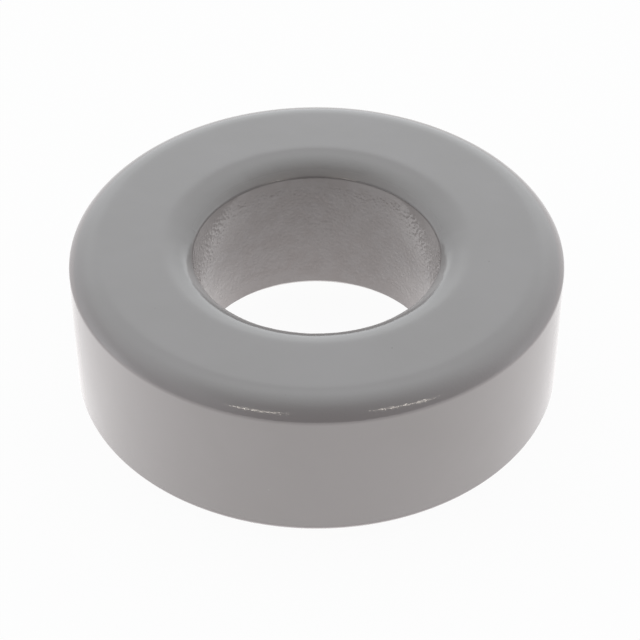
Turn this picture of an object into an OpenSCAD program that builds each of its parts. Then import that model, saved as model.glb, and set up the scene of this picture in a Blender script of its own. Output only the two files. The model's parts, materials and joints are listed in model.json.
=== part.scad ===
// Ring core for a choke or a small transformer: ferrite powder pressed and fired in one
// piece, under a smooth grey insulating coat. Every size is taken over the coat.
// The origin is the centre of the base, and +Z runs up the axis of the ring.

/* [Ring] */
// Outside diameter
outer_d = 20.2; // [18:0.1:40]
// Diameter of the bore
bore_d = 10.1; // [6:0.1:12]
// Height from the base to the top face
height = 7.05; // [4:0.05:20]

/* [Corners] */
// Width of a pressed corner, measured across the face
corner_w = 1.25; // [0.8:0.05:1.4]
// Drop of a pressed corner, measured from the face to its crease with the wall
corner_drop = 0.73; // [0.4:0.01:0.78]
// Radius over which the coat rounds that crease
crease_r = 0.3; // [0.1:0.05:0.5]

/* [Hidden] */
$fn = 200;
outer_r = outer_d / 2;
bore_r = bore_d / 2;
wall = outer_r - bore_r; // radial thickness of the ring
// The arc of a corner is level where it leaves the face and reaches the wall at the crease
arc_r = (pow(corner_w, 2) + pow(corner_drop, 2)) / (2 * corner_drop);
// Depth below the face at which the round of the crease has become the straight wall
wall_start = arc_r - sqrt(pow(arc_r - crease_r, 2) - pow(corner_w - crease_r, 2));
// Distance in from the wall at which the arc passes into that round
arc_end = corner_w - arc_r * (corner_w - crease_r) / (arc_r - crease_r);

// Corner of the section, with the wall on its right, the face above it, and its sharp tip,
// which the arc and the round leave off, at [0, 0]
module corner() {
    // Shallow arc left by the face of the punch
    intersection() {
        translate([-corner_w, -arc_r]) circle(arc_r);
        translate([-corner_w, -wall_start]) square([corner_w - arc_end, 2 * wall_start]);
    }
    // Small round that turns the arc down into the wall
    intersection() {
        translate([-crease_r, -wall_start]) circle(crease_r);
        translate([-arc_end, -wall_start]) square([2 * arc_end, 2 * wall_start]);
    }
}

// Section of the ring, with the axis at x = 0 and the base at y = 0
module section() {
    // Flat faces, and what lies between them
    translate([bore_r + corner_w, 0]) square([wall - 2 * corner_w, height]);
    // Straight walls of the bore and the rim, and what lies between them
    translate([bore_r, wall_start]) square([wall, height - 2 * wall_start]);
    // The same corner four times: at the rim and the bore, at the top and the base
    for (at_bore = [0, 1], at_base = [0, 1])
        translate([at_bore ? bore_r : outer_r, at_base ? 0 : height])
            mirror([at_bore, 0]) mirror([0, at_base]) corner();
}

module toroid_core() {
    color([0.62, 0.61, 0.6]) rotate_extrude() section();
}

toroid_core();
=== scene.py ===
import json
import math

import bpy
from mathutils import Matrix, Vector


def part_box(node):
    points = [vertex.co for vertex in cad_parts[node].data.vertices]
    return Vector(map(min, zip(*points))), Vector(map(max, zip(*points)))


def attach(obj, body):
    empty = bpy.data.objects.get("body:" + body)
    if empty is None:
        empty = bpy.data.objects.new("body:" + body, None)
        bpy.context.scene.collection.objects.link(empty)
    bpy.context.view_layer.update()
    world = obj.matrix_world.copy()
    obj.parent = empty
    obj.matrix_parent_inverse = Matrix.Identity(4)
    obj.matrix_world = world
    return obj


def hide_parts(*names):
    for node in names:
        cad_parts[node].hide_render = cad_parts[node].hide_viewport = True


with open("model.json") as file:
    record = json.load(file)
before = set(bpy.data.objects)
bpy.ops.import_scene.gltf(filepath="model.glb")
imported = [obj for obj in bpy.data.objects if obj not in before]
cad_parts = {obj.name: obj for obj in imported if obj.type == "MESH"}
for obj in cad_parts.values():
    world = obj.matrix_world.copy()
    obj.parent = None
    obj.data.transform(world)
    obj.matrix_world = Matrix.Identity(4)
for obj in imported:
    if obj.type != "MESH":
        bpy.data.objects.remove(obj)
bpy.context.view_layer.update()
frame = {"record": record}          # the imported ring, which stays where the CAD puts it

scene = bpy.context.scene


# Node work: a wire is one output socket, and sums on wires add the math nodes that they need
class Wire:
    def __init__(self, bench, socket):
        self.bench = bench
        self.socket = socket

    def __add__(self, other):
        return self.bench.math("ADD", self, other)

    def __sub__(self, other):
        return self.bench.math("SUBTRACT", self, other)

    def __mul__(self, other):
        return self.bench.math("MULTIPLY", self, other)

    def __truediv__(self, other):
        return self.bench.math("DIVIDE", self, other)

    def __rsub__(self, other):
        return self.bench.math("SUBTRACT", other, self)

    def __rtruediv__(self, other):
        return self.bench.math("DIVIDE", other, self)

    def __neg__(self):
        return self.bench.math("MULTIPLY", self, -1.0)

    __radd__ = __add__
    __rmul__ = __mul__


class Bench:
    def __init__(self, tree):
        self.tree = tree

    # One way to add any node: its type, its settings, what goes into its sockets, the output wanted
    def node(self, kind, settings=None, into=None, out=0):
        made = self.tree.nodes.new(kind)
        for name, value in (settings or {}).items():
            setattr(made, name, value)
        for name, value in (into or {}).items():
            if isinstance(value, Wire):
                self.tree.links.new(value.socket, made.inputs[name])
            else:
                made.inputs[name].default_value = value
        return Wire(self, made.outputs[out]) if out is not None else made

    def math(self, operation, *values):
        return self.node("ShaderNodeMath", {"operation": operation}, dict(enumerate(values)))

    # 0 up to low, 1 from high on, and a straight or a soft rise between them
    def rise(self, value, low, high, soft=True):
        how = {"interpolation_type": "SMOOTHSTEP" if soft else "LINEAR"}
        return self.node("ShaderNodeMapRange", how, {"Value": value, "From Min": low, "From Max": high})

    def blend(self, share, first, second):
        made = self.node("ShaderNodeMix", {"data_type": "RGBA"}, out=None)
        for socket, value in zip((made.inputs[0], made.inputs[6], made.inputs[7]), (share, first, second)):
            if isinstance(value, Wire):
                self.tree.links.new(value.socket, socket)
            else:
                socket.default_value = value
        return Wire(self, made.outputs[2])

    def scaled(self, colour, level):
        return self.node("ShaderNodeVectorMath", {"operation": "SCALE"}, {"Vector": colour, "Scale": level})

    def parts(self, vector):
        made = self.node("ShaderNodeSeparateXYZ", into={"Vector": vector}, out=None)
        return [Wire(self, output) for output in made.outputs]


# The ring: the same section as the CAD's, in metres, turned with fine steps
lowest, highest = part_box("toroid_core")
boreMount = next(m for m in frame["record"]["mounts"] if m["name"] == "bore")

ring = {
    "Outer radius": (highest.x - lowest.x) / 2,
    "Bore radius": boreMount["dims"]["r_mm"] / 1000,
    "Height": highest.z - lowest.z,
    "Rim width": 0.00125,          # of the corner, across the face
    "Rim drop": 0.00073,           # down to the crease with the wall
    "Rim crease": 0.0003,          # radius of that crease
    "Bore width": 0.00135,         # the bore's corner, a little shallower and sharper than the CAD's
    "Bore drop": 0.00068,
    "Bore crease": 0.00012,
    "Coat wave": 0.000006,         # depth of the coat's slow unevenness
    "Bore wave": 0.000022,         # the same in the bore, where the coat went on thicker
    "Wave size": 0.0009,
    "Steps round": 400,
    "Face steps": 8,               # steps in a quarter of the section
    "Arc steps": 12,
    "Crease steps": 6,
    "Wall steps": 16,
}


def ringTree():
    tree = bpy.data.node_groups.new("pressedRing", "GeometryNodeTree")
    tree.is_modifier = True
    tree.interface.new_socket("Geometry", in_out="OUTPUT", socket_type="NodeSocketGeometry")
    for name, value in ring.items():
        kind = "NodeSocketInt" if isinstance(value, int) else "NodeSocketFloat"
        tree.interface.new_socket(name, in_out="INPUT", socket_type=kind)
    tree.interface.new_socket("Coat", in_out="INPUT", socket_type="NodeSocketMaterial")
    bench = Bench(tree)
    given = bench.node("NodeGroupInput", out=None)
    size = {name: Wire(bench, given.outputs[name]) for name in ring}
    sine = lambda angle: bench.math("SINE", angle)
    cosine = lambda angle: bench.math("COSINE", angle)

    # A grid whose one side runs round the section and whose other side runs round the axis
    faceEnd = size["Face steps"]
    arcEnd = faceEnd + size["Arc steps"]
    creaseEnd = arcEnd + size["Crease steps"]
    quarter = creaseEnd + size["Wall steps"]
    across = {"Size X": 1.0, "Size Y": 1.0, "Vertices X": quarter * 4 + 1, "Vertices Y": size["Steps round"] + 1}
    grid = bench.node("GeometryNodeMeshGrid", into=across)
    gridX, gridY, gridZ = bench.parts(bench.node("GeometryNodeInputPosition"))
    along = (gridX + 0.5) * 4 * quarter
    turn = (gridY + 0.5) * math.tau

    # Step in the quarter, counted from the middle of a face to the middle of a wall
    step = bench.math("PINGPONG", along, quarter)
    part = lambda first, last: bench.rise(step, first, last, soft=False)

    # The corner's arc, level at the face, and the angle at which the crease's round takes over
    inner = bench.math("GREATER_THAN", along, quarter * 2)
    width, drop, crease = [size["Rim " + name] + inner * (size["Bore " + name] - size["Rim " + name])
                           for name in ("width", "drop", "crease")]
    arc = (width * width + drop * drop) / (2 * drop)
    endAngle = bench.math("ARCSINE", (width - crease) / (arc - crease))
    arcAngle = endAngle * part(faceEnd, arcEnd)
    creaseAngle = endAngle + (math.pi / 2 - endAngle) * part(arcEnd, creaseEnd)
    wallStart = arc - (arc - crease) * cosine(endAngle)

    # Place in the quarter, out from the middle of the section and up from it
    halfWall = (size["Outer radius"] - size["Bore radius"]) / 2
    halfHeight = size["Height"] / 2
    outward = (halfWall - width) * part(0.0, faceEnd) + arc * sine(arcAngle)
    outward = outward + crease * (sine(creaseAngle) - sine(endAngle))
    upward = halfHeight + arc * (cosine(arcAngle) - 1) + crease * (cosine(creaseAngle) - cosine(endAngle))
    upward = upward - (halfHeight - wallStart) * part(creaseEnd, quarter)
    side = 1 - 2 * inner
    above = 2 * bench.math("GREATER_THAN", bench.math("ABSOLUTE", along - quarter * 2), quarter) - 1

    radius = size["Bore radius"] + halfWall + side * outward
    place = {"X": radius * cosine(turn), "Y": radius * sine(turn), "Z": halfHeight + above * upward}
    turned = bench.node("GeometryNodeSetPosition",
                        into={"Geometry": grid, "Position": bench.node("ShaderNodeCombineXYZ", into=place)})
    closed = bench.node("GeometryNodeMergeByDistance", into={"Geometry": turned, "Distance": 1e-6})

    # The coat's slow waves, only ever into the ring, so that no size grows
    spot = bench.node("GeometryNodeInputPosition")
    spotX, spotY, spotZ = bench.parts(spot)
    reach = bench.math("SQRT", spotX * spotX + spotY * spotY)
    inBore = 1 - bench.rise(reach, size["Bore radius"] + size["Bore crease"], size["Bore radius"] + size["Bore width"])
    waves = {"Vector": spot, "Scale": 1 / size["Wave size"], "Detail": 2.0}
    wave = bench.node("ShaderNodeTexNoise", into=waves)
    depth = wave * (size["Coat wave"] + inBore * size["Bore wave"])
    sink = bench.scaled(bench.node("GeometryNodeInputNormal"), -depth)
    coated = bench.node("GeometryNodeSetPosition", into={"Geometry": closed, "Offset": sink})

    smooth = bench.node("GeometryNodeSetShadeSmooth", into={"Geometry": coated})
    whole = bench.node("GeometryNodeRealizeInstances", into={"Geometry": smooth})
    dressed = bench.node("GeometryNodeSetMaterial",
                         into={"Geometry": whole, "Material": Wire(bench, given.outputs["Coat"])})
    bench.node("NodeGroupOutput", into={"Geometry": dressed}, out=None)
    return tree


def makeRing(coat):
    tree = ringTree()
    blank = bpy.data.objects.new("ringBlank", bpy.data.meshes.new("ringBlank"))
    scene.collection.objects.link(blank)
    press = blank.modifiers.new("press", "NODES")
    press.node_group = tree
    inputs = {s.name: s.identifier for s in tree.interface.items_tree if s.in_out == "INPUT"}
    for name, value in ring.items():
        press[inputs[name]] = value
    press[inputs["Coat"]] = coat
    made = blank.evaluated_get(bpy.context.evaluated_depsgraph_get())
    mesh = bpy.data.meshes.new_from_object(made)
    bpy.data.objects.remove(blank)
    piece = bpy.data.objects.new("coated_ring", mesh)
    scene.collection.objects.link(piece)
    return piece


# The coat: a semi-gloss grey skin, smooth outside and pebbled in the bore, with painted light and shade on its corners
# and creases
coat = {
    "grey": (0.334, 0.316, 0.313, 1.0),
    "paleGrey": (0.345, 0.326, 0.325, 1.0),
    "boreGrey": (0.277, 0.257, 0.254, 1.0),
    "warmBore": (0.261, 0.238, 0.233, 1.0),   # its mottles
    "farCornerLight": (0.344, 0.325, 0.322, 1.0),    # painted light: paler on the bore's far corner
    "farCornerLowShade": (0.328, 0.305, 0.300, 1.0),    # painted shade, low on that corner
    "nearCornerShade": (0.298, 0.281, 0.278, 1.0),   # painted shade on the bore's near corner
    "nearEdgeHighlight": (0.500, 0.476, 0.472, 1.0),   # painted highlight along its very edge
    "sideStripLight": (0.370, 0.347, 0.343, 1.0),  # painted light high up in the bore, at its sides
    "mottle": 0.0007,
    "outerCreaseShade": (0.283, 0.260, 0.262, 1.0),   # painted shade towards the outer creases
    "outerCreaseWidth": 0.0011,
    "boreCreaseShade": (0.240, 0.222, 0.220, 1.0),   # painted shade in the bore's creases themselves
    "lineWidth": 0.00009,
    "roughness": 0.105,
    "roughSpread": 0.06,
    "innerRough": 0.25,            # more beside the bore's creases
    "pebble": 0.00014,             # across one pebble of the bore's skin
    "pebbleDepth": 0.000016,
    "skin": 0.00011,               # across one swell of the skin outside
    "skinDepth": 0.0000016,
    "creaseSkin": 3.2,             # how many times deeper at the creases
    "speckRoom": 0.0013,           # a few specks, one at most in a cell of this size
    "speck": 0.00005,
    "speckShare": 0.6,
    "speckGrey": (0.22, 0.21, 0.205, 1.0),
    "paleSpeck": (0.41, 0.39, 0.38, 1.0),
}


def coatMaterial():
    material = bpy.data.materials.new("greyCoat")
    material.use_nodes = True
    tree = material.node_tree
    tree.nodes.clear()
    bench = Bench(tree)
    spot = bench.node("ShaderNodeTexCoord", out="Object")
    x, y, z = bench.parts(spot)
    reach = bench.math("SQRT", x * x + y * y)
    inBore = 1 - bench.rise(reach, ring["Bore radius"] + 0.00002, ring["Bore radius"] + 0.00012)

    # Distance from the nearest of the four creases, in the plane of the section
    middle = (ring["Outer radius"] + ring["Bore radius"]) / 2
    fromWall = (ring["Outer radius"] - ring["Bore radius"]) / 2 - bench.math("ABSOLUTE", reach - middle)
    fromFace = ring["Height"] / 2 - bench.math("ABSOLUTE", z - ring["Height"] / 2)
    inside = bench.math("LESS_THAN", reach, middle)
    drop = fromFace - ring["Rim drop"] - inside * (ring["Bore drop"] - ring["Rim drop"])
    fromCrease = bench.math("SQRT", fromWall * fromWall + drop * drop)
    # A band along the outer creases: painted shade in the colour there, and a deeper skin bump
    outerCreaseBand = (1 - inside) * (1 - bench.rise(fromCrease, 0.0, coat["outerCreaseWidth"]))
    outerCreaseBand = outerCreaseBand * (1 - bench.rise(fromFace, ring["Rim drop"], ring["Rim drop"] + 0.00015))
    # Painted shade along the bore's creases, at the back and sides
    line = inside * bench.rise(y, -0.003, 0.0) * (1 - bench.rise(fromCrease, coat["lineWidth"] * 0.3, coat["lineWidth"]))
    beside = inside * bench.rise(y, 0.0, 0.002) * bench.rise(fromWall, 0.00002, 0.00008) * (1 - bench.rise(fromWall, 0.0002, 0.0004))

    noise = lambda size, detail=2.0: bench.node(
        "ShaderNodeTexNoise", into={"Vector": spot, "Scale": 1 / size, "Detail": detail})
    cloud = noise(0.004, 4.0)
    tone = bench.blend(bench.rise(cloud, 0.35, 0.65), coat["grey"], coat["paleGrey"])
    # Painted light: the bore's far corner made paler
    farCorner = inside * bench.rise(y, 0.001, 0.005) * (1 - bench.rise(fromWall, 0.0005, 0.0014))
    tone = bench.blend(farCorner, tone, coat["farCornerLight"])
    # Painted shade low on the bore's far corner, near its crease
    farLow = inside * bench.rise(y, 0.002, 0.005) * (1 - bench.rise(fromWall, 0.0001, 0.0006))
    tone = bench.blend(farLow, tone, coat["farCornerLowShade"])
    # Painted shade on the bore's near corner
    nearCorner = inside * (1 - bench.rise(y, 0.0, 0.003)) * (1 - bench.rise(fromWall, 0.0006, 0.0013))
    tone = bench.blend(nearCorner, tone, coat["nearCornerShade"])
    # Painted highlight along the bore's near edge
    edge = inside * (1 - bench.rise(y, -0.003, 0.0005)) * (1 - bench.rise(fromWall, 0.0003, 0.0006))
    tone = bench.blend(edge, tone, coat["nearEdgeHighlight"])
    boreTone = bench.blend(bench.rise(noise(coat["mottle"]), 0.4, 0.6), coat["boreGrey"], coat["warmBore"])
    # Painted light high in the bore at its sides
    strip = bench.rise(bench.math("ABSOLUTE", x) / reach, 0.5, 0.95) * (1 - bench.rise(fromFace, 0.0018, 0.0034))
    boreTone = bench.blend(strip, boreTone, coat["sideStripLight"])
    colour = bench.blend(outerCreaseBand, bench.blend(inBore * (1 - edge), tone, boreTone), coat["outerCreaseShade"])
    colour = bench.blend(line, colour, coat["boreCreaseShade"])

    # Specks: a dot in the middle of a few cells
    cells = bench.node("ShaderNodeTexVoronoi", into={"Vector": spot, "Scale": 1 / coat["speckRoom"]}, out=None)
    draw, kind, rest = bench.parts(Wire(bench, cells.outputs["Color"]))
    dot = 1 - bench.rise(Wire(bench, cells.outputs["Distance"]) * coat["speckRoom"], 0.0, coat["speck"])
    speck = dot * bench.math("LESS_THAN", draw, coat["speckShare"])
    speckTone = bench.blend(bench.math("LESS_THAN", kind, 0.5), coat["speckGrey"], coat["paleSpeck"])
    colour = bench.blend(speck, colour, speckTone)

    skin = noise(coat["skin"], 1.0) * (1 + outerCreaseBand * (coat["creaseSkin"] - 1))
    pebbles = bench.node("ShaderNodeTexVoronoi", {"feature": "SMOOTH_F1"},
                         {"Vector": spot, "Scale": 1 / coat["pebble"], "Smoothness": 0.6}, out="Distance")
    height = skin * coat["skinDepth"] + inBore * bench.rise(fromFace, 0.0008, 0.0015) * (1 - pebbles) * coat["pebbleDepth"]
    relief = bench.node("ShaderNodeBump", into={"Height": height, "Distance": 1.0, "Strength": 1.0})

    rough = coat["roughness"] + coat["roughSpread"] * (noise(0.0012) - 0.5) + coat["innerRough"] * beside
    shader = bench.node("ShaderNodeBsdfPrincipled",
                        into={"Base Color": colour, "Roughness": rough, "IOR": 1.66, "Normal": relief})
    bench.node("ShaderNodeOutputMaterial", into={"Surface": shader}, out=None)
    return material


greyCoat = coatMaterial()
coatedRing = makeRing(greyCoat)
print("ring made:", len(coatedRing.data.polygons), "faces")


# The floor: a pale lit table, white to the camera and to reflections, with the ring's shadow kept
table = {
    "colour": (0.93, 0.93, 0.93, 1.0),
    "half": 0.3,
    "shadowShare": 0.05,           # how much of its own light and shade the camera sees
    "glow": 1.145,                 # what it sends up at the ring, in front
    "sideGain": 0.18,              # how much more at the sides, out of the camera's shade
    "backLoss": 0.16,              # how much less straight behind the ring
    "boreLoss": 0.07,              # how much less inside the bore
    "glowTint": (1.022, 1.0, 1.0, 1.0),
}


def floorMaterial():
    material = bpy.data.materials.new("paleFloor")
    material.use_nodes = True
    material.node_tree.nodes.clear()
    bench = Bench(material.node_tree)
    path = bench.node("ShaderNodeLightPath", out=None)
    camera, glossy, through = [Wire(bench, path.outputs["Is " + ray + " Ray"])
                               for ray in ("Camera", "Glossy", "Transmission")]
    lit = bench.node("ShaderNodeBsdfDiffuse", into={"Color": table["colour"]})
    x, y, z = bench.parts(bench.node("ShaderNodeTexCoord", out="Object"))
    reach = bench.math("SQRT", x * x + y * y + 1e-9)
    before = -y / reach
    leftward = 1 - 0.3 * x / reach
    outside = bench.rise(reach, ring["Bore radius"], ring["Outer radius"])
    sideways = (1 - bench.rise(before, 0.3, 1.0, soft=False)) * (1 - outside * (1 - bench.rise(before, -0.3, 0.4)))
    glow = table["glow"] * (1 + table["sideGain"] * leftward * sideways)
    glow = glow - table["boreLoss"] * (1 - outside) - table["backLoss"] * outside * bench.rise(-before, 0.5, 1.0)
    level = bench.math("MAXIMUM", glow + camera * (1 - glow), glossy + through)    # never under white in metal or glass
    tint = bench.blend(camera, table["glowTint"], (1.0, 1.0, 1.0, 1.0))
    white = bench.node("ShaderNodeEmission", into={"Color": bench.scaled(tint, level), "Strength": 1.0})
    mixed = bench.node("ShaderNodeMixShader", into={0: 1 - table["shadowShare"], 1: lit, 2: white})
    bench.node("ShaderNodeOutputMaterial", into={"Surface": mixed}, out=None)
    return material


def makeFloor():
    half = table["half"]
    mesh = bpy.data.meshes.new("floor")
    corners = [(-half, -half, 0), (half, -half, 0), (half, half, 0), (-half, half, 0)]
    mesh.from_pydata(corners, [], [(0, 1, 2, 3)])
    mesh.materials.append(floorMaterial())
    floor = bpy.data.objects.new("floor", mesh)
    scene.collection.objects.link(floor)
    return floor


floor = makeFloor()


# The room: pale behind the ring, brighter low at its sides, and dark behind the camera
room = {
    "low": 0.83,
    "high": 1.05,
    "backLow": 1.56,
    "backHigh": 0.82,
    "sideGlow": 1.1,               # more, low at both sides
    "leftGain": 0.4,               # how much of it moves from the right side to the left one
    "leftBack": 0.5,               # how much paler it is on the left behind the camera
    "leftLoss": 0.17,              # share that the low part of the left side lacks
    "overhead": 1.27,
    "tint": (0.962, 1.0, 1.018, 1.0),
}


def makeRoom():
    world = bpy.data.worlds.new("paleRoom")
    scene.world = world
    world.use_nodes = True
    world.node_tree.nodes.clear()
    bench = Bench(world.node_tree)
    x, y, z = bench.parts(bench.node("ShaderNodeTexCoord", out="Generated"))
    away = y / bench.math("SQRT", x * x + y * y + 1e-6)        # -1 behind the camera, 1 behind the ring
    power = lambda value, exponent: bench.math("POWER", bench.math("MAXIMUM", value, 0.0), exponent)
    walls = room["low"] + (room["high"] - room["low"]) * bench.rise(z, 0.0, 0.6, soft=False)
    back = room["backLow"] + (room["backHigh"] - room["backLow"]) * bench.rise(z, 0.5, 0.75, soft=False)
    glow = power(1 - bench.math("ABSOLUTE", away), 2.0) * (1 - bench.rise(z, 0.0, 0.45)) * room["sideGlow"]
    walls = walls + (back - walls) * power(away, 5.0) + glow * (1 - room["leftGain"] * x)
    dark = power(-away, 0.8) * (1 - room["leftBack"] * bench.rise(-x, 0.35, 0.75))
    walls = walls * (1 - dark) * (1 - room["leftLoss"] * power(-x, 1.0) * (1 - bench.rise(z, 0.3, 0.65)))
    ceiling = room["overhead"] * bench.rise(y, -0.6, 0.3, soft=False)
    level = walls + (ceiling - walls) * bench.rise(z, 0.75, 0.98)
    path = bench.node("ShaderNodeLightPath", out=None)
    seen = Wire(bench, path.outputs["Is Camera Ray"]) + Wire(bench, path.outputs["Is Transmission Ray"])
    tint = bench.blend(seen, room["tint"], (1.0, 1.0, 1.0, 1.0))
    colour = bench.scaled(tint, level + (1 - level) * seen)
    sky = bench.node("ShaderNodeBackground", into={"Color": colour, "Strength": 1.0})
    bench.node("ShaderNodeOutputWorld", into={"Surface": sky}, out=None)


# Two narrow lamps above the camera, which draw the thin bright lines along the front rim
lamps = {
    "distance": 0.25,
    "thickness": 0.0035,
    "radiance": 18.0,
    "colour": (1.0, 0.93, 0.82),
    "ends": {                      # side, in degrees from the camera's, and height above the floor
        "leftLamp": ((-16, 41), (-38, 37)),
        "rightLamp": ((26, 42), (50.5, 29.8)),
    },
}


def makeLamp(name, ends):
    reach = []
    for side, height in ends:
        a, e = math.radians(side), math.radians(height)
        reach.append(Vector((math.sin(a) * math.cos(e), -math.cos(a) * math.cos(e), math.sin(e))) * lamps["distance"])
    long = reach[1] - reach[0]
    back = (reach[0] + reach[1]).normalized()
    up = back.cross(long).normalized()
    light = bpy.data.lights.new(name, "AREA")
    light.shape = "RECTANGLE"
    light.size, light.size_y = long.length, lamps["thickness"]
    light.color = lamps["colour"]
    light.energy = lamps["radiance"] * math.pi * light.size * light.size_y
    lamp = bpy.data.objects.new(name, light)
    lamp.matrix_world = Matrix((long.normalized(), up, back)).transposed().to_4x4()
    lamp.location = (reach[0] + reach[1]) / 2
    scene.collection.objects.link(lamp)


makeRoom()
for name, ends in lamps["ends"].items():
    makeLamp(name, ends)
print("floor and room made")


# The camera stands where the photograph's did: fitted to the ring's outline, bore and creases
shot = {
    "distance": 0.0911,
    "elevation": math.radians(40.8),
    "aimHeight": 0.00273,
    "lens": 122.1,
    "shift": 0.0053,
}


def makeCamera():
    data = bpy.data.cameras.new("camera")
    data.sensor_width = 36
    data.lens = shot["lens"]
    data.shift_x = shot["shift"]
    data.clip_start, data.clip_end = 0.005, 5
    camera = bpy.data.objects.new("camera", data)
    scene.collection.objects.link(camera)
    back = Vector((0, -math.cos(shot["elevation"]), math.sin(shot["elevation"])))
    camera.location = Vector((0, 0, shot["aimHeight"])) + back * shot["distance"]
    camera.rotation_mode = "QUATERNION"
    camera.rotation_quaternion = (-back).to_track_quat("-Z", "Y")
    scene.camera = camera


makeCamera()
scene.view_settings.view_transform = "Standard"
print("camera placed")

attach(coatedRing, "root")
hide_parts("toroid_core")
